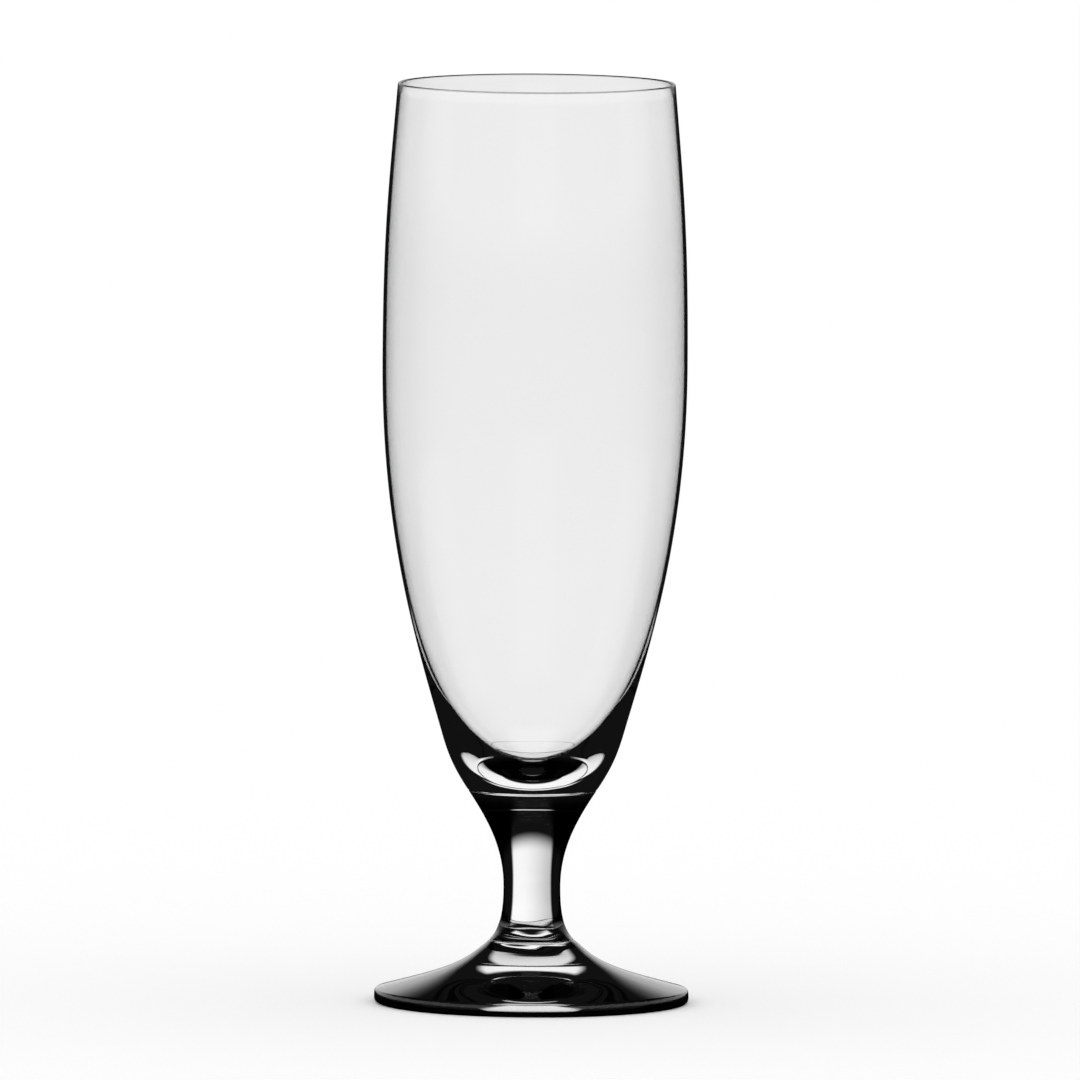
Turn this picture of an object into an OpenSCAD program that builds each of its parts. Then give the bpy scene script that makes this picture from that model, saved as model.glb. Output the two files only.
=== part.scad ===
// Pilsner glass: a tall tulip bowl on a short waisted stem and a cone-shaped foot.
// The three pieces are turned shapes that share the Z axis and meet face to face.
// Millimetres. The origin is the centre of the circle that the foot stands on.

/* [Bowl] */
// Height of the rim above the table
glass_height = 205; // [190:1:220]
// Outside diameter at the rim
rim_diameter = 61.7; // [56:0.1:66]
// Inward lean of the outside wall at the rim, in degrees
rim_lean = 4.75; // [1:0.25:8]
// Outside diameter at the widest place
belly_diameter = 67.8; // [64:0.1:74]
// Height of the widest place above the table
belly_height = 142.6; // [130:0.2:155]
// Outside diameter of the heel, where the wall turns in towards the stem
heel_diameter = 40.2; // [37:0.1:44]
// Height of the heel above the table
heel_height = 59.7; // [57:0.1:63]
// Inward lean of the outside wall at the heel, in degrees
heel_lean = 16.1; // [12:0.1:22]
// Thickness of the wall from the rim down to the well
wall = 0.78; // [0.6:0.02:1.4]
// Height at which the inside leaves the wall and closes in to the well
well_top_height = 94.5; // [90:0.5:112]
// Height of the lowest point of the inside
well_floor_height = 50.8; // [50:0.1:54]

/* [Stem] */
// Diameter of the joint between bowl and stem
upper_joint_diameter = 28.7; // [26:0.1:31]
// Height of that joint above the table
upper_joint_height = 47.5; // [45:0.1:49]
// Inward lean of the outside at that joint, in degrees
upper_joint_lean = 33.2; // [26:0.1:40]
// Diameter of the stem at its waist
waist_diameter = 12.65; // [10:0.05:16]
// Height of the waist above the table
waist_height = 25.9; // [24:0.1:29]

/* [Foot] */
// Diameter of the joint between stem and foot
lower_joint_diameter = 19.2; // [17:0.1:22]
// Height of that joint above the table
lower_joint_height = 14; // [12:0.1:16]
// Outward lean of the outside at that joint, in degrees from upright
lower_joint_lean = 45.4; // [38:0.1:52]
// Diameter of the foot
foot_diameter = 70; // [64:0.2:80]
// Width of the rounded border between the foot's top and its widest circle
border_width = 0.45; // [0.3:0.05:1]
// Height of the border's upper corner above the table
border_height = 3.05; // [2.4:0.05:4]
// Outward lean of the foot's top at its border, in degrees from upright
border_lean = 75; // [65:0.5:84]
// Height of the foot's widest circle above the table
widest_height = 1.3; // [0.8:0.1:1.8]
// Width by which the foot's under edge is rounded
under_edge = 1.2; // [0.6:0.1:2]
// Width of the flat ring that the foot stands on
rest_ring_width = 3; // [1.5:0.1:6]
// Rise of the hollow beneath the foot
hollow_rise = 1.4; // [0.4:0.1:3]

/* [Joints] */
// Depth of the fine line left round each hot joint
joint_line_depth = 0.16; // [0.05:0.01:0.3]
// Width of that line, measured along the outside
joint_line_width = 0.7; // [0.3:0.05:1.2]

/* [Hidden] */
$fn = 96;

// Straight steps in each curve, and in the half circle of the rim
curve_steps = 16;
rim_steps = 8;

// A lean is turned outward from straight down, so an inward one is negative.
upright = 0;
level_inward = -90;

// How far each end of a curve pulls along its lean, as shares of the straight distance between the ends
rim_pull_shares = [0.37, 0.48];
side_pull_shares = [0.461, 0.244];
base_pull_shares = [0.396, 0.364];
well_pull_shares = [0.41, 0.301];
flare_pull_shares = [0.316, 0.39];
waist_pull_shares = [0.344, 0.323];
top_pull_shares = [0.29, 0.555];
border_pull_shares = [0.2, 0.6];
under_edge_pull_shares = [0.5, 0.45];
hollow_pull_shares = [0.33, 0.33];

// Radii and heights of the points that the curves join
rim_edge = [rim_diameter / 2, glass_height - wall / 2 * (1 - sin(rim_lean))];
belly = [belly_diameter / 2, belly_height];
heel = [heel_diameter / 2, heel_height];
upper_joint = [upper_joint_diameter / 2, upper_joint_height];
waist = [waist_diameter / 2, waist_height];
lower_joint = [lower_joint_diameter / 2, lower_joint_height];
border = [foot_diameter / 2 - border_width, border_height];
widest = [foot_diameter / 2, widest_height];
rest_outer = [foot_diameter / 2 - under_edge, 0];
rest_inner = [rest_outer.x - rest_ring_width, 0];
hollow_top = [0, hollow_rise];

// The step down a curve's line at a lean, one unit long
function along(lean) = [sin(lean), -cos(lean)];

// Points of a cubic curve from p to q that leaves p and reaches q at the given leans
function curve(p, q, leans, pull_shares, steps = curve_steps) =
    let (
        reach = norm(q - p),
        c = p + pull_shares[0] * reach * along(leans[0]),
        d = q - pull_shares[1] * reach * along(leans[1])
    )
    [
        for (i = [0:steps])
            let (t = i / steps, s = 1 - t)
            s * s * s * p + 3 * s * s * t * c + 3 * s * t * t * d + t * t * t * q
    ];

// A list without its first point, which the curve before it already has
function after_first(points) = [for (i = [1:len(points) - 1]) points[i]];

// The shoulder of a joint's line above (side = -1) or below (side = 1) the joint
function shoulder(joint, lean, side) = joint + side * joint_line_width / 2 * along(lean);

// The bottom of a joint's line
function line_bottom(joint) = joint - [joint_line_depth, 0];

// The outside of the bowl from the rim to the upper joint
upper_side = curve(rim_edge, belly, [rim_lean, upright], rim_pull_shares);
lower_side = curve(belly, heel, [upright, -heel_lean], side_pull_shares);
base_side = curve(
    heel,
    shoulder(upper_joint, -upper_joint_lean, -1),
    [-heel_lean, -upper_joint_lean],
    base_pull_shares
);

// The inside follows the outside at one wall's distance, square to it
function inner(points, i) =
    let (
        before = points[max(i - 1, 0)],
        next = points[min(i + 1, len(points) - 1)],
        down = (next - before) / norm(next - before)
    )
    points[i] + wall * [down.y, -down.x];

inner_wall = concat(
    [for (i = [0:len(upper_side) - 1]) inner(upper_side, i)],
    [for (i = [1:len(lower_side) - 1]) if (lower_side[i].y > well_top_height) inner(lower_side, i)]
);

// Radius and lean of the inside at the top of the well, read between the points of the wall
all_inner = [for (i = [0:len(lower_side) - 1]) inner(lower_side, i)];
radius_table = [for (p = all_inner) [p.y, p.x]];
well_top = [lookup(well_top_height, radius_table), well_top_height];
well_lean = -atan2(
    lookup(well_top_height + wall, radius_table) - lookup(well_top_height - wall, radius_table),
    2 * wall
);
well_side = curve(
    well_top,
    [0, well_floor_height],
    [well_lean, level_inward],
    well_pull_shares,
    2 * curve_steps
);

// The fire-polished rim, a half circle as wide as the wall, from inside to outside
rim_middle = (rim_edge + inner_wall[0]) / 2;
rim_round = [
    for (i = [1:rim_steps - 1])
        let (a = 180 * i / rim_steps)
        rim_middle + wall / 2 * [-cos(a) * cos(rim_lean) + sin(a) * -sin(rim_lean),
                                 sin(a) * cos(rim_lean) - cos(a) * sin(rim_lean)]
];

bowl_outline = concat(
    upper_side,
    after_first(lower_side),
    after_first(base_side),
    [line_bottom(upper_joint), [0, upper_joint_height]],
    [for (i = [len(well_side) - 1:-1:0]) well_side[i]],
    [for (i = [len(inner_wall) - 1:-1:0]) inner_wall[i]],
    rim_round
);

stem_outline = concat(
    [[0, upper_joint_height], line_bottom(upper_joint)],
    curve(
        shoulder(upper_joint, -upper_joint_lean, 1),
        waist,
        [-upper_joint_lean, upright],
        flare_pull_shares
    ),
    after_first(curve(
        waist,
        shoulder(lower_joint, lower_joint_lean, -1),
        [upright, lower_joint_lean],
        waist_pull_shares
    )),
    [line_bottom(lower_joint), [0, lower_joint_height]]
);

foot_outline = concat(
    [[0, lower_joint_height], line_bottom(lower_joint)],
    curve(
        shoulder(lower_joint, lower_joint_lean, 1),
        border,
        [lower_joint_lean, border_lean],
        top_pull_shares
    ),
    after_first(curve(border, widest, [border_lean, upright], border_pull_shares, rim_steps)),
    after_first(curve(widest, rest_outer, [upright, level_inward], under_edge_pull_shares, rim_steps)),
    curve(rest_inner, hollow_top, [level_inward, level_inward], hollow_pull_shares)
);

// A solid turned about the Z axis from half its section
module turned(outline) {
    rotate_extrude() polygon(outline);
}

// Blown bowl with a thick base
module bowl() {
    color([0.9, 0.92, 0.93, 0.35]) turned(bowl_outline);
}

// Solid waisted stem
module stem() {
    color([0.86, 0.89, 0.9, 0.5]) turned(stem_outline);
}

// Cone-shaped foot, slightly hollow beneath
module foot() {
    color([0.82, 0.86, 0.88, 0.5]) turned(foot_outline);
}

bowl();
stem();
foot();
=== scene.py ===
"""Clear pilsner glass on a pale studio floor: a blown bowl, a solid stem and a pressed foot, each a turned surface."""

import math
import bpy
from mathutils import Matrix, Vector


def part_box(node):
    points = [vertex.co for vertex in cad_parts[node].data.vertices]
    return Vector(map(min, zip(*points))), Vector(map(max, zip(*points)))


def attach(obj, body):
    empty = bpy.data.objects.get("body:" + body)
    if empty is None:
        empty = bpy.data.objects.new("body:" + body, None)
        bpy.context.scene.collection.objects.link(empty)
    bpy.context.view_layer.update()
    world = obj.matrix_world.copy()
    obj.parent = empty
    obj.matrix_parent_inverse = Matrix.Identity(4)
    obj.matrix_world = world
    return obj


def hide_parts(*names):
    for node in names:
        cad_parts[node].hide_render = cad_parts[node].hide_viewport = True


bl_info = {
    "name": "Pilsner Glass",
    "version": (1, 0, 0),
    "blender": (4, 5, 0),
    "location": "3D View > Sidebar > Pilsner Glass",
    "description": "Builds a footed pilsner glass in three pieces and the soft studio around it",
    "category": "Add Mesh",
}

import bpy
import numpy as np
from bpy.props import FloatProperty, FloatVectorProperty, IntProperty, PointerProperty, StringProperty
from mathutils import Matrix, Vector

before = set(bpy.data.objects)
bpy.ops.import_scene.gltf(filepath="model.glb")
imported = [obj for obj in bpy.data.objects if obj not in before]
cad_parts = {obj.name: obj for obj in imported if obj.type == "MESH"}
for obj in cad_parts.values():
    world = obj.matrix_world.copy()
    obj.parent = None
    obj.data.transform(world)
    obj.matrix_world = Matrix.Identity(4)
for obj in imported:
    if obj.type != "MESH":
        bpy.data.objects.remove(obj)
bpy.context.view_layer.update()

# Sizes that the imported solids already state, in metres
GLASS_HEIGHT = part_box("bowl")[1].z
BELLY_DIAMETER = 2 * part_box("bowl")[1].x
FOOT_DIAMETER = 2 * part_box("foot")[1].x
UPPER_JOINT_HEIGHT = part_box("bowl")[0].z
LOWER_JOINT_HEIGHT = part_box("stem")[0].z

# A lean is turned outward from straight down, so an inward one is negative.
UPRIGHT = 0.0
LEVEL_INWARD = -math.pi / 2

# How far the ends of the foot's small curves keep their leans, as shares of each curve's reach
EDGE_PULLS = (0.2, 0.6)
UNDER_EDGE_PULLS = (0.5, 0.45)
HOLLOW_PULLS = (0.33, 0.33)

# Straight steps in each curve of the outlines, and round the floor
STEPS = {
    "joint line": 6,
    "rim": 10,
    "upper wall": 28,
    "lower wall": 64,
    "base": 24,
    "well": 72,
    "flare": 48,
    "ankle": 72,
    "foot top": 128,
    "foot edge": 12,
    "foot under edge": 12,
    "hollow": 40,
    "floor": 96,
}

# Heights closer than this, in metres, count as one, and a sharper turn than this stays an edge
SAME_HEIGHT = 1e-7
SHARP_TURN = math.radians(50)

# The three rings of working marks: length along the axis in metres, turns round it, and start in radians
WORKING_RINGS = ((0.008, 3, 0.4), (0.005, -4, 2.1), (0.0031, 5, 4.0))

# Limits of each painted shade in the glass, in metres, as (start, end) of its fade
SLENDER_FROM, SLENDER_TO = (0.014, 0.019), (0.044, 0.049)
FOOT_EDGE_TOP = (0.0012, 0.0016)
FOOT_EDGE_RADIUS = (0.0338, 0.0339)
RIM_TOP = (0.2045, 0.2048)
# How far the stem's surface is turned from the eye where its painted shade starts and is full, as Layer Weight's Facing
SIDE_TURN = (0.22, 0.28)
# How far the painted shade on the top of the rim goes towards the edge colour
RIM_PAINTED_SHADE = 0.35

# Bands of light in the studio, by a ray's rise in degrees: (start, end) of the fade in, and of the fade out
BACKDROP_BAND = (-27.5, -24.5), (11, 24)
BETWEEN_WALLS_BAND = (-24, -14), (0, 8)
LAMP_BAND = (-3, 3), (14, 26)
# The same for rays mirrored inside solid glass: how often they were mirrored, share of the strips' light, and band
MIRRORED_BANDS = (
    (1, 1.0, (-56, -46), (-12, -9)),
    (1, 1.0, (0, 3), (17, 23)),
    (2, 0.8, (-76, -68), (-10, -4)),
)
# The backdrop's fall to the left, by the X of a ray's direction, and how deep it goes
LEFT_FALL = (-0.6, -0.5), (-0.6, 0.25)
LEFT_FALL_DEPTH = 0.5
# The backdrop seen through two walls: rise in degrees at its bright and at its dim end, and its light at each
WALLS_RISE, WALLS_LIGHT = (-5.0, -4.0), (0.975, 0.925)
# Rays mirrored between the walls: Y of their direction, away from the front, where their light sets in and is full,
# and its share
FORWARD = (0.3, 0.9)
BETWEEN_WALLS_SHARE = 0.9
# Strips of light: half their width and the fade at their edges, as parts of a ray's direction, the share of those in
# front and at the sides, and the Y of a ray's direction where the one in front gives way to the one behind
STRIP_EDGE, STRIP_FADE, STRIP_SHARE = 0.29, 0.04, 0.4
STRIP_CHANGE = (-0.01, 0.01)
# Light of the dark cards, nearly black
CARD_LIGHT = 0.0056
# Rays that crossed fewer faces of glass than this met no second wall
TWO_WALLS = 3.5

SMOOTH = {"interpolation_type": "SMOOTHSTEP"}


class BowlSizes(bpy.types.PropertyGroup):
    """Sizes of the blown bowl"""

    rim_diameter: FloatProperty(
        name="Rim diameter",
        description="Outside diameter at the rim",
        default=0.0617,
        min=0.056,
        max=0.066,
        precision=4,
        subtype="DISTANCE",
    )
    rim_lean: FloatProperty(
        name="Rim lean",
        description="Inward lean of the outside wall at the rim",
        default=math.radians(4.75),
        subtype="ANGLE",
    )
    belly_height: FloatProperty(
        name="Belly height",
        description="Height of the widest place above the table",
        default=0.1426,
        precision=4,
        subtype="DISTANCE",
    )
    heel_diameter: FloatProperty(
        name="Heel diameter",
        description="Outside diameter where the wall turns in towards the stem",
        default=0.0402,
        precision=4,
        subtype="DISTANCE",
    )
    heel_height: FloatProperty(
        name="Heel height",
        description="Height of the heel above the table",
        default=0.0597,
        precision=4,
        subtype="DISTANCE",
    )
    heel_lean: FloatProperty(
        name="Heel lean",
        description="Inward lean of the outside wall at the heel",
        default=math.radians(16.1),
        subtype="ANGLE",
    )
    wall: FloatProperty(
        name="Wall",
        description="Thickness of the wall from the rim down to the well",
        default=0.00078,
        precision=5,
        subtype="DISTANCE",
    )
    well_top_height: FloatProperty(
        name="Well top height",
        description="Height at which the inside leaves the wall and closes in",
        default=0.0945,
        precision=4,
        subtype="DISTANCE",
    )
    well_floor_height: FloatProperty(
        name="Well floor height",
        description="Height of the lowest point of the inside",
        default=0.0508,
        precision=4,
        subtype="DISTANCE",
    )
    rim_pulls: FloatVectorProperty(
        name="Rim pulls",
        description="How far each end of the curve from rim to belly keeps its lean, as shares of its reach",
        size=2,
        default=(0.37, 0.48),
    )
    side_pulls: FloatVectorProperty(
        name="Side pulls",
        description="The same shares for the curve from belly to heel",
        size=2,
        default=(0.461, 0.244),
    )
    base_pulls: FloatVectorProperty(
        name="Base pulls",
        description="The same shares for the curve from heel to joint",
        size=2,
        default=(0.396, 0.364),
    )
    well_pulls: FloatVectorProperty(
        name="Well pulls",
        description="The same shares for the curve of the well",
        size=2,
        default=(0.41, 0.301),
    )


class StemSizes(bpy.types.PropertyGroup):
    """Sizes of the solid stem and of the joints at its two ends"""

    upper_joint_diameter: FloatProperty(
        name="Upper joint diameter",
        description="Diameter of the joint between bowl and stem",
        default=0.0287,
        precision=4,
        subtype="DISTANCE",
    )
    upper_joint_lean: FloatProperty(
        name="Upper joint lean",
        description="Inward lean of the outside at the joint between bowl and stem",
        default=math.radians(33.2),
        subtype="ANGLE",
    )
    waist_diameter: FloatProperty(
        name="Waist diameter",
        description="Diameter of the stem at its waist",
        default=0.01265,
        precision=5,
        subtype="DISTANCE",
    )
    waist_height: FloatProperty(
        name="Waist height",
        description="Height of the waist above the table",
        default=0.0259,
        precision=4,
        subtype="DISTANCE",
    )
    lower_joint_diameter: FloatProperty(
        name="Lower joint diameter",
        description="Diameter of the joint between stem and foot",
        default=0.0192,
        precision=4,
        subtype="DISTANCE",
    )
    lower_joint_lean: FloatProperty(
        name="Lower joint lean",
        description="Outward lean of the outside at the joint between stem and foot",
        default=math.radians(45.4),
        subtype="ANGLE",
    )
    line_depth: FloatProperty(
        name="Joint line depth",
        description="Depth of the fine line left round each hot joint",
        default=0.00016,
        precision=5,
        subtype="DISTANCE",
    )
    line_width: FloatProperty(
        name="Joint line width",
        description="Width of that line, measured along the outside",
        default=0.0007,
        precision=5,
        subtype="DISTANCE",
    )
    marks_depth: FloatProperty(
        name="Working marks depth",
        description="Greatest depth of the uneven rings left round the joint between stem and foot",
        default=0.0002,
        precision=5,
        subtype="DISTANCE",
    )
    marks_reach: FloatProperty(
        name="Working marks reach",
        description="Height above and below that joint at which the rings have faded out",
        default=0.007,
        precision=4,
        subtype="DISTANCE",
    )
    flare_pulls: FloatVectorProperty(
        name="Flare pulls",
        description="How far each end of the curve from joint to waist keeps its lean, as shares of its reach",
        size=2,
        default=(0.316, 0.39),
    )
    waist_pulls: FloatVectorProperty(
        name="Waist pulls",
        description="The same shares for the curve from waist to foot",
        size=2,
        default=(0.344, 0.323),
    )


class FootSizes(bpy.types.PropertyGroup):
    """Sizes of the pressed foot"""

    border_width: FloatProperty(
        name="Border width",
        description="Width of the rounded border between the foot's top and its widest circle",
        default=0.00045,
        precision=5,
        subtype="DISTANCE",
    )
    border_height: FloatProperty(
        name="Border height",
        description="Height of the border's upper corner above the table",
        default=0.00305,
        precision=5,
        subtype="DISTANCE",
    )
    border_lean: FloatProperty(
        name="Border lean",
        description="Outward lean of the foot's top at its border",
        default=math.radians(75.0),
        subtype="ANGLE",
    )
    widest_height: FloatProperty(
        name="Widest height",
        description="Height of the foot's widest circle above the table",
        default=0.0013,
        precision=5,
        subtype="DISTANCE",
    )
    under_edge: FloatProperty(
        name="Under edge",
        description="Width by which the under edge is rounded",
        default=0.0012,
        precision=5,
        subtype="DISTANCE",
    )
    ring_width: FloatProperty(
        name="Rest ring width",
        description="Width of the flat ring that the foot stands on",
        default=0.003,
        precision=4,
        subtype="DISTANCE",
    )
    hollow_rise: FloatProperty(
        name="Hollow rise",
        description="Rise of the hollow beneath the foot",
        default=0.0014,
        precision=4,
        subtype="DISTANCE",
    )
    top_pulls: FloatVectorProperty(
        name="Top pulls",
        description="How far each end of the curve of the foot's top keeps its lean, as shares of its reach",
        size=2,
        default=(0.29, 0.555),
    )


class GlassLook(bpy.types.PropertyGroup):
    """Finish of the glass, and the colour of the shade painted on it"""

    colour: StringProperty(
        name="Colour",
        description="Colour of clear crystal glass, as an sRGB hex value",
        default="#FFFFFF",
    )
    # Colour of the shade painted on the stem's sides, the foot's under edge and the rim
    painted_shade_colour: StringProperty(
        name="Edge colour",
        description="Colour to which the stem's sides, the foot's under edge and the rim go, as an sRGB hex value",
        default="#111111",
    )
    ior: FloatProperty(
        name="IOR",
        description="Refractive index, from clear glass and matched to how the thick base bends the light",
        default=1.45,
        min=1.45,
        max=1.7,
    )
    sectors: IntProperty(
        name="Sectors",
        description="Straight steps round each piece",
        default=256,
        min=48,
        max=320,
    )


class StudioLook(bpy.types.PropertyGroup):
    """Floor, soft light and camera"""

    floor_colour: StringProperty(
        name="Floor colour",
        description="Colour of the pale floor, as an sRGB hex value",
        default="#FFFFFF",
    )
    floor_radius: FloatProperty(
        name="Floor radius",
        description="Radius of the round floor",
        default=8.0,
        subtype="DISTANCE",
    )
    camera_distance: FloatProperty(
        name="Camera distance",
        description="Distance of the camera from the glass",
        default=6.5,
        subtype="DISTANCE",
    )
    camera_rise: FloatProperty(
        name="Camera rise",
        description="Angle by which the camera looks down on the glass",
        default=math.radians(4.85),
        subtype="ANGLE",
    )
    camera_roll: FloatProperty(
        name="Camera roll",
        description="Small turn of the picture about its middle",
        default=math.radians(0.35),
        subtype="ANGLE",
    )
    view_width: FloatProperty(
        name="View width",
        description="Width of the picture at the glass",
        default=0.24,
        precision=4,
        subtype="DISTANCE",
    )
    view_middle: FloatVectorProperty(
        name="View middle",
        description="Point at the middle of the picture",
        size=3,
        default=(0.00133, 0.0, 0.1032),
        precision=4,
        subtype="TRANSLATION",
    )


def linear(hex_colour):
    """RGBA in linear light from an sRGB hex value.

    Each channel c, from 0 to 1, becomes c / 12.92 where it is low, and else ((c + 0.055) / 1.055) to the power 2.4.
    """
    srgb = np.array([int(hex_colour[i : i + 2], 16) for i in (1, 3, 5)]) / 255
    channels = np.where(srgb <= 0.04045, srgb / 12.92, ((srgb + 0.055) / 1.055) ** 2.4)
    return (*channels.tolist(), 1.0)


def add_node(tree, kind, settings=None, inputs=None):
    """Adds a node with its settings, and sets or links its inputs by name or number."""
    node = tree.nodes.new(kind)
    for name, value in (settings or {}).items():
        setattr(node, name, value)
    for socket, value in (inputs or {}).items():
        if isinstance(value, bpy.types.NodeSocket):
            tree.links.new(value, node.inputs[socket])
        else:
            node.inputs[socket].default_value = value
    return node


def soft_band(tree, value, low, high):
    """How far a value lies between two soft limits, each given as (start, end) of its fade.

    A smooth step up over the low fade times a smooth step down over the high one.
    """
    rising = add_node(
        tree, "ShaderNodeMapRange", SMOOTH, {"Value": value, "From Min": low[0], "From Max": low[1]}
    )
    falling = add_node(
        tree, "ShaderNodeMapRange", SMOOTH, {"Value": value, "From Min": high[1], "From Max": high[0]}
    )
    both = add_node(
        tree, "ShaderNodeMath", {"operation": "MULTIPLY"}, {0: rising.outputs["Result"], 1: falling.outputs["Result"]}
    )
    return both.outputs["Value"]


def along(lean):
    """The step down a curve's line at a lean, one unit long: (sine, minus cosine)."""
    return np.array([math.sin(lean), -math.cos(lean)])


def cubic(start, end, leans, pulls, steps):
    """Points (radius, height) of a cubic curve that leaves start and reaches end at the given leans.

    s^3 start + 3 s^2 t a + 3 s t^2 b + t^3 end for t from 0 to 1 and s = 1 - t, where a and b lie along
    the leans, at each pull's share of the distance from start to end.
    """
    start, end = np.asarray(start), np.asarray(end)
    reach = np.linalg.norm(end - start)
    a = start + pulls[0] * reach * along(leans[0])
    b = end - pulls[1] * reach * along(leans[1])
    t = np.linspace(0, 1, steps + 1)[:, None]
    s = 1 - t
    return s**3 * start + 3 * s**2 * t * a + 3 * s * t**2 * b + t**3 * end


def inward(points, wall):
    """Points moved by one wall's distance square to the curve, to the side of the axis."""
    down = np.gradient(points, axis=0)
    down /= np.linalg.norm(down, axis=1)[:, None]
    return points + wall * np.column_stack([down[:, 1], -down[:, 0]])


def joint_line(joint, lean, side, sizes):
    """Half of the soft line round a hot joint, from its shoulder to its bottom at the joint's plane.

    Depth times (1 - cos(pi t)) / 2 inward from the straight outside, for t from 0 at the shoulder to 1 at the joint.
    """
    t = np.linspace(0, 1, STEPS["joint line"] + 1)[:, None]
    outside = joint + side * (1 - t) * sizes.line_width / 2 * along(lean)
    dip = sizes.line_depth * (1 - np.cos(np.pi * t)) / 2
    return outside - dip * np.array([1.0, 0.0])


def bowl_outline(bowl, stem):
    """Half section of the bowl, (radius, height).

    From the lowest point of the inside up the well and the wall, over the rim as a half circle as wide as the wall,
    down the outside through belly and heel, and across the joint to the axis.
    """
    rim = (bowl.rim_diameter / 2, GLASS_HEIGHT - bowl.wall / 2 * (1 - math.sin(bowl.rim_lean)))
    belly = (BELLY_DIAMETER / 2, bowl.belly_height)
    heel = (bowl.heel_diameter / 2, bowl.heel_height)
    joint = np.array([stem.upper_joint_diameter / 2, UPPER_JOINT_HEIGHT])
    line = joint_line(joint, -stem.upper_joint_lean, -1, stem)

    upper = cubic(rim, belly, (bowl.rim_lean, UPRIGHT), bowl.rim_pulls, STEPS["upper wall"])
    lower = cubic(belly, heel, (UPRIGHT, -bowl.heel_lean), bowl.side_pulls, STEPS["lower wall"])
    base = cubic(heel, line[0], (-bowl.heel_lean, -stem.upper_joint_lean), bowl.base_pulls, STEPS["base"])

    inner_upper, inner_lower = inward(upper, bowl.wall), inward(lower, bowl.wall)
    heights = np.array([-bowl.wall, 0, bowl.wall]) + bowl.well_top_height
    radii = np.interp(heights, inner_lower[::-1, 1], inner_lower[::-1, 0])
    well_lean = -math.atan2(radii[2] - radii[0], 2 * bowl.wall)
    well = cubic(
        (radii[1], bowl.well_top_height),
        (0, bowl.well_floor_height),
        (well_lean, LEVEL_INWARD),
        bowl.well_pulls,
        STEPS["well"],
    )
    # A point of the wall nearer to the well's top than a quarter of the wall's thickness is left out
    wall = inner_lower[inner_lower[:, 1] > bowl.well_top_height + bowl.wall / 4]

    middle = (upper[0] + inner_upper[0]) / 2
    turn = np.pi * np.arange(1, STEPS["rim"])[:, None] / STEPS["rim"]
    across = np.array([math.cos(bowl.rim_lean), math.sin(bowl.rim_lean)])
    up = np.array([-math.sin(bowl.rim_lean), math.cos(bowl.rim_lean)])
    rim_round = middle + bowl.wall / 2 * (np.sin(turn) * up - np.cos(turn) * across)

    inside = [well[::-1], wall[::-1], inner_upper[-2::-1]]
    return np.vstack([*inside, rim_round, upper, lower[1:], base[1:], line[1:], [0, UPPER_JOINT_HEIGHT]])


def stem_outline(stem):
    """Half section of the stem: across the upper joint, down the flare and the waist, and across the lower joint."""
    upper = np.array([stem.upper_joint_diameter / 2, UPPER_JOINT_HEIGHT])
    lower = np.array([stem.lower_joint_diameter / 2, LOWER_JOINT_HEIGHT])
    waist = (stem.waist_diameter / 2, stem.waist_height)
    upper_line = joint_line(upper, -stem.upper_joint_lean, 1, stem)[::-1]
    lower_line = joint_line(lower, stem.lower_joint_lean, -1, stem)
    flare = cubic(upper_line[-1], waist, (-stem.upper_joint_lean, UPRIGHT), stem.flare_pulls, STEPS["flare"])
    ankle = cubic(waist, lower_line[0], (UPRIGHT, stem.lower_joint_lean), stem.waist_pulls, STEPS["ankle"])
    ends = [0, UPPER_JOINT_HEIGHT], [0, LOWER_JOINT_HEIGHT]
    return np.vstack([ends[0], upper_line, flare[1:], ankle[1:], lower_line[1:], ends[1]])


def foot_outline(foot, stem):
    """Half section of the foot.

    Across the joint, down the cone, round the edge, along the rest ring and into the hollow beneath.
    """
    joint = np.array([stem.lower_joint_diameter / 2, LOWER_JOINT_HEIGHT])
    border = (FOOT_DIAMETER / 2 - foot.border_width, foot.border_height)
    widest = (FOOT_DIAMETER / 2, foot.widest_height)
    ring_outer = (FOOT_DIAMETER / 2 - foot.under_edge, 0)
    ring_inner = (ring_outer[0] - foot.ring_width, 0)
    line = joint_line(joint, stem.lower_joint_lean, 1, stem)[::-1]
    top = cubic(line[-1], border, (stem.lower_joint_lean, foot.border_lean), foot.top_pulls, STEPS["foot top"])
    edge = cubic(border, widest, (foot.border_lean, UPRIGHT), EDGE_PULLS, STEPS["foot edge"])
    under = cubic(widest, ring_outer, (UPRIGHT, LEVEL_INWARD), UNDER_EDGE_PULLS, STEPS["foot under edge"])
    hollow_top = (0, foot.hollow_rise)
    hollow = cubic(ring_inner, hollow_top, (LEVEL_INWARD, LEVEL_INWARD), HOLLOW_PULLS, STEPS["hollow"])
    return np.vstack([[0, LOWER_JOINT_HEIGHT], line, top[1:], edge[1:], under[1:], hollow])


def working_marks(height, angle, middle, reach, depth):
    """Depth of the uneven rings that working the hot glass leaves round a joint, at each height and angle.

    depth times a fade times the mean of three rings' (1 + sin(2 pi height / length + turns * angle + start)) / 2. The
    fade is 1 at the middle and falls to 0 at its reach above and below, as the square of a cosine.
    """
    away = np.clip((height - middle) / reach, -1, 1)
    waves = [
        (1 + np.sin(2 * np.pi * height / length + turns * angle + start)) / 2
        for length, turns, start in WORKING_RINGS
    ]
    return depth * np.cos(np.pi / 2 * away) ** 2 * sum(waves) / len(waves)


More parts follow.
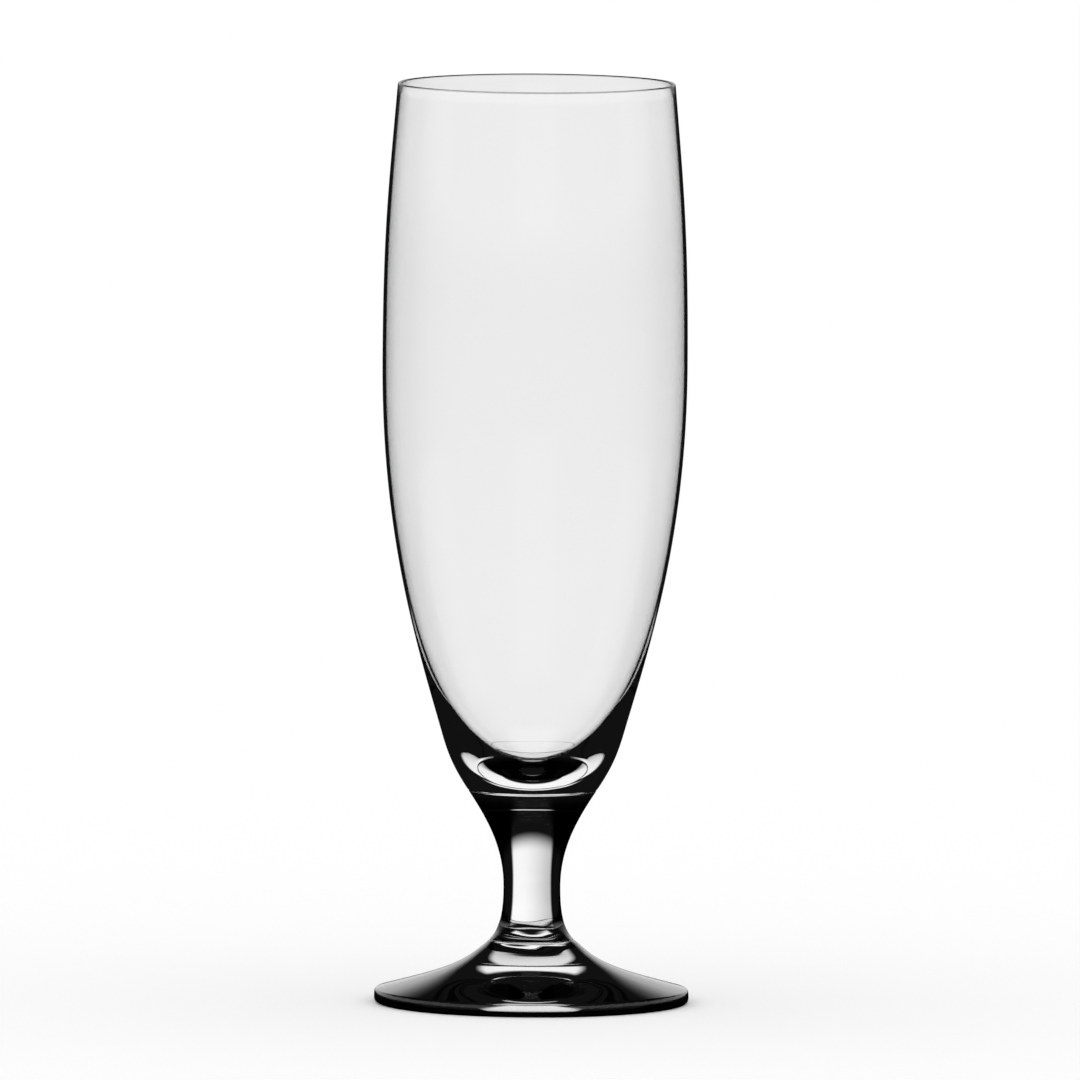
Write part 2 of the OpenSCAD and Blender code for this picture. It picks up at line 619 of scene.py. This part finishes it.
def turned(outline, sectors, marks):
    """Vertices and faces of an outline turned about Z, with both of its ends on the axis.

    Point (r, h) of the outline goes to ((r - m) cos a, (r - m) sin a, h) for each of the sectors' angles a, where m is
    the depth of the working marks there, or 0 without them. The two ends are single points, each closed by a fan of
    triangles. Each face follows its step of the outline, so the list of faces is a fan, one ring of quads for each
    inner step, and a fan.
    """
    angle = 2 * np.pi * np.arange(sectors) / sectors
    radius, height = outline[1:-1, :1], outline[1:-1, 1:]
    if marks:
        radius = radius - working_marks(height, angle, *marks)
    ring = np.stack(
        [radius * np.cos(angle), radius * np.sin(angle), np.broadcast_to(height, (len(height), sectors))], axis=-1
    )
    poles = [0, 0, outline[0, 1]], [0, 0, outline[-1, 1]]
    vertices = np.vstack([poles[0], ring.reshape(-1, 3), poles[1]])

    near = np.arange(sectors)
    far = (near + 1) % sectors
    starts = 1 + sectors * np.arange(len(height) - 1)[:, None]
    quads = np.stack(
        [starts + near, starts + sectors + near, starts + sectors + far, starts + far], axis=-1
    ).reshape(-1, 4)
    last = 1 + sectors * (len(height) - 1)
    first_fan = np.column_stack([np.zeros(sectors, int), 1 + near, 1 + far])
    last_fan = np.column_stack([last + near, np.full(sectors, len(vertices) - 1), last + far])
    return vertices, [*first_fan.tolist(), *quads.tolist(), *last_fan.tolist()]


def glass_piece(name, outline, joints, materials, sectors, marks=None):
    """Makes a turned piece whose faces in the planes of its joints, at the given heights, take the second material."""
    vertices, faces = turned(outline, sectors, marks)
    mesh = bpy.data.meshes.new(name)
    mesh.from_pydata(vertices.tolist(), [], faces)
    heights = outline[1:, 1]
    flat = np.isclose(heights, outline[:-1, 1], atol=SAME_HEIGHT)
    at_joint = np.any([np.isclose(heights, height, atol=SAME_HEIGHT) for height in joints], axis=0)
    mesh.polygons.foreach_set("material_index", np.repeat((flat & at_joint).astype(np.int32), sectors))
    mesh.polygons.foreach_set("use_smooth", np.ones(len(faces), bool))
    mesh.set_sharp_from_angle(angle=SHARP_TURN)
    mesh.update()
    for material in materials:
        mesh.materials.append(material)
    piece = bpy.data.objects.new(name, mesh)
    bpy.context.scene.collection.objects.link(piece)
    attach(piece, "root")
    return piece


def painted_stem_side_shade(tree, place):
    """Painted shade, 1 on the stem's slender sides from ankle to flare, for the dark cards a solid rod shows beside it.
    """
    parts = add_node(tree, "ShaderNodeSeparateXYZ", inputs={"Vector": place})
    slender = soft_band(tree, parts.outputs["Z"], SLENDER_FROM, SLENDER_TO)
    facing = add_node(tree, "ShaderNodeLayerWeight", inputs={"Blend": 0.5})
    side = add_node(
        tree,
        "ShaderNodeMapRange",
        SMOOTH,
        {"Value": facing.outputs["Facing"], "From Min": SIDE_TURN[0], "From Max": SIDE_TURN[1]},
    )
    dark = add_node(tree, "ShaderNodeMath", {"operation": "MULTIPLY"}, {0: side.outputs["Result"], 1: slender})
    return dark.outputs["Value"]


def painted_foot_edge_shadow(tree, place):
    """1 on the foot's rounded under edge, outside the rest ring, close over the table: a painted shadow there."""
    parts = add_node(tree, "ShaderNodeSeparateXYZ", inputs={"Vector": place})
    level = add_node(tree, "ShaderNodeVectorMath", {"operation": "MULTIPLY"}, {0: place, 1: (1, 1, 0)})
    radius = add_node(tree, "ShaderNodeVectorMath", {"operation": "LENGTH"}, {0: level.outputs["Vector"]})
    low = add_node(
        tree,
        "ShaderNodeMapRange",
        SMOOTH,
        {"Value": parts.outputs["Z"], "From Min": FOOT_EDGE_TOP[1], "From Max": FOOT_EDGE_TOP[0]},
    )
    outer = add_node(
        tree,
        "ShaderNodeMapRange",
        SMOOTH,
        {"Value": radius.outputs["Value"], "From Min": FOOT_EDGE_RADIUS[0], "From Max": FOOT_EDGE_RADIUS[1]},
    )
    dark = add_node(
        tree, "ShaderNodeMath", {"operation": "MULTIPLY"}, {0: low.outputs["Result"], 1: outer.outputs["Result"]}
    )
    return dark.outputs["Value"]


def painted_rim_shade(tree, place):
    """Painted shade, about a third on the top of the fire-polished rim, that draws it as a fine grey line; 0 elsewhere.
    """
    parts = add_node(tree, "ShaderNodeSeparateXYZ", inputs={"Vector": place})
    top = add_node(
        tree,
        "ShaderNodeMapRange",
        SMOOTH,
        {"Value": parts.outputs["Z"], "From Min": RIM_TOP[0], "From Max": RIM_TOP[1], "To Max": RIM_PAINTED_SHADE},
    )
    return top.outputs["Result"]


def crystal_glass(name, look, waves, depth, shade):
    """Lead-free crystal glass, clear and fire-polished: it has no colour of its own and bends and mirrors light.

    Its surface is never quite even. It carries soft waves, a few hundredths of a millimetre deep, whose lengths along
    X, Y and Z come from how the piece was made. A painted shade, given place by place, darkens it towards its edge
    colour.
    """
    material = bpy.data.materials.new(name)
    material.use_nodes = True
    tree = material.node_tree
    tree.nodes.clear()
    place = add_node(tree, "ShaderNodeTexCoord").outputs["Object"]
    stretch = add_node(
        tree, "ShaderNodeMapping", inputs={"Vector": place, "Scale": [1 / length for length in waves]}
    )
    swell = add_node(
        tree, "ShaderNodeTexNoise", inputs={"Vector": stretch.outputs["Vector"], "Scale": 1.0, "Detail": 1.0}
    )
    surface = add_node(
        tree, "ShaderNodeBump", inputs={"Height": swell.outputs["Fac"], "Strength": 1.0, "Distance": depth}
    )
    # Painted shade: the glass's colour goes towards the edge colour where the shade says
    # A colour Mix takes its two colours at inputs 6 and 7 and gives its result at output 2
    painted_shade_mix = add_node(
        tree,
        "ShaderNodeMix",
        {"data_type": "RGBA"},
        {"Factor": shade(tree, place), 6: linear(look.colour), 7: linear(look.painted_shade_colour)},
    )
    glass = add_node(
        tree,
        "ShaderNodeBsdfGlass",
        inputs={
            "Color": painted_shade_mix.outputs[2],
            "Roughness": 0.0,
            "IOR": look.ior,
            "Normal": surface.outputs["Normal"],
        },
    )
    add_node(tree, "ShaderNodeOutputMaterial", inputs={"Surface": glass.outputs["BSDF"]})
    return material


def fused_joint():
    """The inside of a hot joint: one glass runs into the other there, so nothing bends or mirrors the light."""
    material = bpy.data.materials.get("fused joint")
    if material is None:
        material = bpy.data.materials.new("fused joint")
        material.use_nodes = True
        tree = material.node_tree
        tree.nodes.clear()
        clear = add_node(tree, "ShaderNodeBsdfTransparent", inputs={"Color": linear("#FFFFFF")})
        add_node(tree, "ShaderNodeOutputMaterial", inputs={"Surface": clear.outputs["BSDF"]})
    return material


class PILSNER_OT_bowl(bpy.types.Operator):
    """Build the blown bowl with its thin wall and thick solid base"""

    bl_idname = "pilsner.bowl"
    bl_label = "Build Bowl"
    bl_options = {"REGISTER", "UNDO"}

    def execute(self, context):
        scene = context.scene
        outline = bowl_outline(scene.pilsner_bowl, scene.pilsner_stem)
        # Blown and turned in a mould: slow waves as long as a thumb is wide, and painted shade on the rim
        glass = crystal_glass(
            "blown crystal glass", scene.pilsner_look, waves=(0.03, 0.03, 0.05), depth=0.00002, shade=painted_rim_shade
        )
        piece = glass_piece(
            "bowl_blown", outline, [UPPER_JOINT_HEIGHT], [glass, fused_joint()], scene.pilsner_look.sectors
        )
        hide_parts("bowl")
        return {"FINISHED"}


class PILSNER_OT_stem(bpy.types.Operator):
    """Build the solid waisted stem"""

    bl_idname = "pilsner.stem"
    bl_label = "Build Stem"
    bl_options = {"REGISTER", "UNDO"}

    def execute(self, context):
        scene = context.scene
        # Drawn out hot: fine streaks along the stem, and painted shade on its sides
        glass = crystal_glass(
            "drawn crystal glass", scene.pilsner_look, waves=(0.004, 0.004, 0.04), depth=0.00001, shade=painted_stem_side_shade
        )
        piece = glass_piece(
            "stem_drawn",
            stem_outline(scene.pilsner_stem),
            [UPPER_JOINT_HEIGHT, LOWER_JOINT_HEIGHT],
            [glass, fused_joint()],
            scene.pilsner_look.sectors,
            (LOWER_JOINT_HEIGHT, scene.pilsner_stem.marks_reach, scene.pilsner_stem.marks_depth),
        )
        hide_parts("stem")
        return {"FINISHED"}


class PILSNER_OT_foot(bpy.types.Operator):
    """Build the cone-shaped foot, slightly hollow beneath"""

    bl_idname = "pilsner.foot"
    bl_label = "Build Foot"
    bl_options = {"REGISTER", "UNDO"}

    def execute(self, context):
        scene = context.scene
        # Pressed and fire-polished: low uneven swells across the cone, and a painted shadow on its under edge
        glass = crystal_glass(
            "pressed crystal glass",
            scene.pilsner_look,
            waves=(0.014, 0.014, 0.006),
            depth=0.00003,
            shade=painted_foot_edge_shadow,
        )
        piece = glass_piece(
            "foot_pressed",
            foot_outline(scene.pilsner_foot, scene.pilsner_stem),
            [LOWER_JOINT_HEIGHT],
            [glass, fused_joint()],
            scene.pilsner_look.sectors,
            (LOWER_JOINT_HEIGHT, scene.pilsner_stem.marks_reach, scene.pilsner_stem.marks_depth),
        )
        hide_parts("foot")
        return {"FINISHED"}


def light_strips(tree, parts):
    """Upright strips of light on the four sides, as a share of the brightest, the one behind the glass.

    A ray meets the strip behind or in front where its part across, the absolute X of its direction, is less than the
    strip's edge, and one at the sides where its part along, the absolute Y, is.
    """
    fade = {"From Min": STRIP_EDGE + STRIP_FADE, "From Max": STRIP_EDGE - STRIP_FADE}
    across = add_node(tree, "ShaderNodeMath", {"operation": "ABSOLUTE"}, {0: parts.outputs["X"]})
    along_view = add_node(tree, "ShaderNodeMath", {"operation": "ABSOLUTE"}, {0: parts.outputs["Y"]})
    behind = add_node(
        tree,
        "ShaderNodeMapRange",
        inputs={
            "Value": parts.outputs["Y"],
            "From Min": STRIP_CHANGE[0],
            "From Max": STRIP_CHANGE[1],
            "To Min": STRIP_SHARE,
            "To Max": 1.0,
        },
    )
    middle = add_node(tree, "ShaderNodeMapRange", SMOOTH, {"Value": across.outputs["Value"], **fade, "To Max": 1.0})
    sides = add_node(
        tree, "ShaderNodeMapRange", SMOOTH, {"Value": along_view.outputs["Value"], **fade, "To Max": STRIP_SHARE}
    )
    ahead = add_node(
        tree, "ShaderNodeMath", {"operation": "MULTIPLY"}, {0: middle.outputs["Result"], 1: behind.outputs["Result"]}
    )
    strips = add_node(
        tree, "ShaderNodeMath", {"operation": "MAXIMUM"}, {0: ahead.outputs["Value"], 1: sides.outputs["Result"]}
    )
    return strips.outputs["Value"]


def light_through_solid(tree, parts, rise, mirrored, one_wall, unmirrored):
    """Light seen through solid glass.

    Straight through, a level band of the white backdrop that falls off to the left. Mirrored once or twice inside,
    the strips within the bands for rays mirrored that often. Between the bands, level with the camera, is a dark card,
    which draws the edges of the thin wall.
    """
    band = soft_band(tree, rise, *BACKDROP_BAND)
    left = soft_band(tree, parts.outputs["X"], *LEFT_FALL)
    kept = add_node(tree, "ShaderNodeMath", {"operation": "MULTIPLY_ADD"}, {0: left, 1: -LEFT_FALL_DEPTH, 2: 1.0})
    backdrop = add_node(tree, "ShaderNodeMath", {"operation": "MULTIPLY"}, {0: band, 1: kept.outputs["Value"]})

    share_of_strips = 0.0
    for mirrors, share, low, high in MIRRORED_BANDS:
        this_often = add_node(tree, "ShaderNodeMath", {"operation": "COMPARE"}, {0: mirrored, 1: mirrors, 2: 0.5})
        part = add_node(
            tree, "ShaderNodeMath", {"operation": "MULTIPLY"}, {0: this_often.outputs["Value"], 1: share}
        )
        share_of_strips = add_node(
            tree,
            "ShaderNodeMath",
            {"operation": "MULTIPLY_ADD"},
            {0: soft_band(tree, rise, low, high), 1: part.outputs["Value"], 2: share_of_strips},
        ).outputs["Value"]
    strips = add_node(
        tree, "ShaderNodeMath", {"operation": "MULTIPLY"}, {0: light_strips(tree, parts), 1: one_wall}
    )
    inside = add_node(
        tree, "ShaderNodeMath", {"operation": "MULTIPLY"}, {0: strips.outputs["Value"], 1: share_of_strips}
    )
    solid = add_node(
        tree,
        "ShaderNodeMix",
        {"data_type": "FLOAT"},
        {"Factor": unmirrored, "A": inside.outputs["Value"], "B": backdrop.outputs["Value"]},
    )
    return solid.outputs["Result"]


def light_through_walls(tree, parts, rise, crossed, unmirrored):
    """Light seen through the bowl's two walls.

    Not mirrored, the whole backdrop, a little brighter low down. Mirrored between the walls, its part behind the glass.
    """
    brightness = add_node(
        tree,
        "ShaderNodeMapRange",
        inputs={
            "Value": rise,
            "From Min": WALLS_RISE[0],
            "From Max": WALLS_RISE[1],
            "To Min": WALLS_LIGHT[0],
            "To Max": WALLS_LIGHT[1],
        },
    )
    two_walls = add_node(tree, "ShaderNodeMath", {"operation": "GREATER_THAN"}, {0: crossed, 1: TWO_WALLS})
    backdrop = add_node(
        tree,
        "ShaderNodeMath",
        {"operation": "MULTIPLY"},
        {0: two_walls.outputs["Value"], 1: brightness.outputs["Result"]},
    )
    forward = add_node(
        tree,
        "ShaderNodeMapRange",
        SMOOTH,
        {"Value": parts.outputs["Y"], "From Min": FORWARD[0], "From Max": FORWARD[1], "To Max": BETWEEN_WALLS_SHARE},
    )
    between = add_node(
        tree,
        "ShaderNodeMath",
        {"operation": "MULTIPLY"},
        {0: soft_band(tree, rise, *BETWEEN_WALLS_BAND), 1: forward.outputs["Result"]},
    )
    seen = add_node(
        tree, "ShaderNodeMath", {"operation": "MAXIMUM"}, {0: unmirrored, 1: between.outputs["Value"]}
    )
    hollow = add_node(
        tree, "ShaderNodeMath", {"operation": "MULTIPLY"}, {0: seen.outputs["Value"], 1: backdrop.outputs["Value"]}
    )
    return hollow.outputs["Value"]


def studio_world():
    """The studio, white where it is seen directly, and dark cards with strips of light where the glass mirrors it.

    The light that a ray finds depends on its path: on how often it was mirrored (glossy depth), how often it crossed
    a face of the glass (transmission depth), and how steeply it leaves, its rise in degrees.
    """
    world = bpy.data.worlds.new("soft studio")
    # Its light depends on each ray's path, so it is met by rays and not sampled as a lamp
    world.cycles.sampling_method = "NONE"
    world.use_nodes = True
    tree = world.node_tree
    tree.nodes.clear()
    place = add_node(tree, "ShaderNodeTexCoord")
    path = add_node(tree, "ShaderNodeLightPath")
    mirrored, crossed = path.outputs["Glossy Depth"], path.outputs["Transmission Depth"]
    parts = add_node(tree, "ShaderNodeSeparateXYZ", inputs={"Vector": place.outputs["Generated"]})
    angle = add_node(tree, "ShaderNodeMath", {"operation": "ARCSINE"}, {0: parts.outputs["Z"]})
    rise = add_node(tree, "ShaderNodeMath", {"operation": "DEGREES"}, {0: angle.outputs["Value"]}).outputs["Value"]
    unmirrored = add_node(tree, "ShaderNodeMath", {"operation": "LESS_THAN"}, {0: mirrored, 1: 0.5}).outputs["Value"]
    one_wall = add_node(tree, "ShaderNodeMath", {"operation": "LESS_THAN"}, {0: crossed, 1: TWO_WALLS})
    outside = add_node(tree, "ShaderNodeMath", {"operation": "LESS_THAN"}, {0: crossed, 1: 0.5})

    solid = light_through_solid(tree, parts, rise, mirrored, one_wall.outputs["Value"], unmirrored)
    hollow = light_through_walls(tree, parts, rise, crossed, unmirrored)
    through = add_node(tree, "ShaderNodeMath", {"operation": "MAXIMUM"}, {0: solid, 1: hollow})

    # Mirrored on the outside of the glass a soft lamp all round, above the level of the table
    lamp = soft_band(tree, rise, *LAMP_BAND)
    shown = add_node(
        tree,
        "ShaderNodeMix",
        {"data_type": "FLOAT"},
        {"Factor": outside.outputs["Value"], "A": through.outputs["Value"], "B": lamp},
    )

    # Never darker than the cards, and white where the camera or the floor sees it
    light = shown.outputs["Result"]
    for least in (CARD_LIGHT, path.outputs["Is Camera Ray"], path.outputs["Is Diffuse Ray"]):
        light = add_node(tree, "ShaderNodeMath", {"operation": "MAXIMUM"}, {0: light, 1: least}).outputs["Value"]
    background = add_node(tree, "ShaderNodeBackground", inputs={"Color": linear("#FFFFFF"), "Strength": light})
    add_node(tree, "ShaderNodeOutputWorld", inputs={"Surface": background.outputs["Background"]})
    return world


def floor_disc(studio):
    """Pale matt board. The glass stands on it and shades it, and shows the studio through itself instead of it."""
    corner = np.linspace(0, 2 * np.pi, STEPS["floor"], endpoint=False)
    rim = studio.floor_radius * np.column_stack([np.cos(corner), np.sin(corner), np.zeros(len(corner))])
    mesh = bpy.data.meshes.new("floor")
    mesh.from_pydata(rim.tolist(), [], [list(range(len(corner)))])
    board = bpy.data.materials.new("matt white board")
    board.use_nodes = True
    tree = board.node_tree
    tree.nodes.clear()
    matt = add_node(tree, "ShaderNodeBsdfDiffuse", inputs={"Color": linear(studio.floor_colour), "Roughness": 0.0})
    add_node(tree, "ShaderNodeOutputMaterial", inputs={"Surface": matt.outputs["BSDF"]})
    mesh.materials.append(board)
    floor = bpy.data.objects.new("floor", mesh)
    floor.visible_transmission = False
    floor.visible_glossy = False
    bpy.context.scene.collection.objects.link(floor)
    return floor


def aimed_camera(studio):
    """A long lens from far away, a little above the level of the glass, which keeps the sides near parallel."""
    lens = bpy.data.cameras.new("camera")
    lens.sensor_width = 36.0
    lens.lens = lens.sensor_width * studio.camera_distance / studio.view_width
    lens.clip_end = 100.0
    camera = bpy.data.objects.new("camera", lens)
    middle = Vector(studio.view_middle)
    back = Vector((0, -math.cos(studio.camera_rise), math.sin(studio.camera_rise)))
    facing = (-back).to_track_quat("-Z", "Y").to_matrix().to_4x4()
    roll = Matrix.Rotation(studio.camera_roll, 4, "Z")
    camera.matrix_world = Matrix.Translation(middle + studio.camera_distance * back) @ facing @ roll
    bpy.context.scene.collection.objects.link(camera)
    return camera


class PILSNER_OT_stage(bpy.types.Operator):
    """Build the floor, the soft light and the camera"""

    bl_idname = "pilsner.stage"
    bl_label = "Build Stage"
    bl_options = {"REGISTER", "UNDO"}

    def execute(self, context):
        scene = context.scene
        scene.view_settings.view_transform = "Standard"
        scene.world = studio_world()
        floor_disc(scene.pilsner_studio)
        scene.camera = aimed_camera(scene.pilsner_studio)
        # Light crosses many faces of glass and is mirrored between them
        scene.cycles.max_bounces = 32
        scene.cycles.transmission_bounces = 24
        scene.cycles.glossy_bounces = 24
        scene.cycles.transparent_max_bounces = 24
        return {"FINISHED"}


class PILSNER_PT_panel(bpy.types.Panel):
    """Lists the pieces of the glass and its stage"""

    bl_label = "Pilsner Glass"
    bl_idname = "PILSNER_PT_panel"
    bl_space_type = "VIEW_3D"
    bl_region_type = "UI"
    bl_category = "Pilsner Glass"

    def draw(self, context):
        for group_name in GROUPS:
            group = getattr(context.scene, group_name)
            box = self.layout.box()
            box.label(text=group.bl_rna.description)
            for name in group.bl_rna.properties.keys():
                if name not in ("name", "rna_type"):
                    box.prop(group, name)
            if group_name in BUILT_BY:
                box.operator(BUILT_BY[group_name].bl_idname)


GROUPS = {
    "pilsner_bowl": BowlSizes,
    "pilsner_stem": StemSizes,
    "pilsner_foot": FootSizes,
    "pilsner_look": GlassLook,
    "pilsner_studio": StudioLook,
}
BUILT_BY = {
    "pilsner_bowl": PILSNER_OT_bowl,
    "pilsner_stem": PILSNER_OT_stem,
    "pilsner_foot": PILSNER_OT_foot,
    "pilsner_studio": PILSNER_OT_stage,
}
CLASSES = (*GROUPS.values(), *BUILT_BY.values(), PILSNER_PT_panel)


def register():
    for cls in CLASSES:
        bpy.utils.register_class(cls)
    for name, group in GROUPS.items():
        setattr(bpy.types.Scene, name, PointerProperty(type=group))


def unregister():
    for name in GROUPS:
        delattr(bpy.types.Scene, name)
    for cls in reversed(CLASSES):
        bpy.utils.unregister_class(cls)


def main():
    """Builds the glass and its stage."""
    register()
    bpy.ops.pilsner.bowl()
    bpy.ops.pilsner.stem()
    bpy.ops.pilsner.foot()
    bpy.ops.pilsner.stage()


if __name__ == "__main__":
    main()
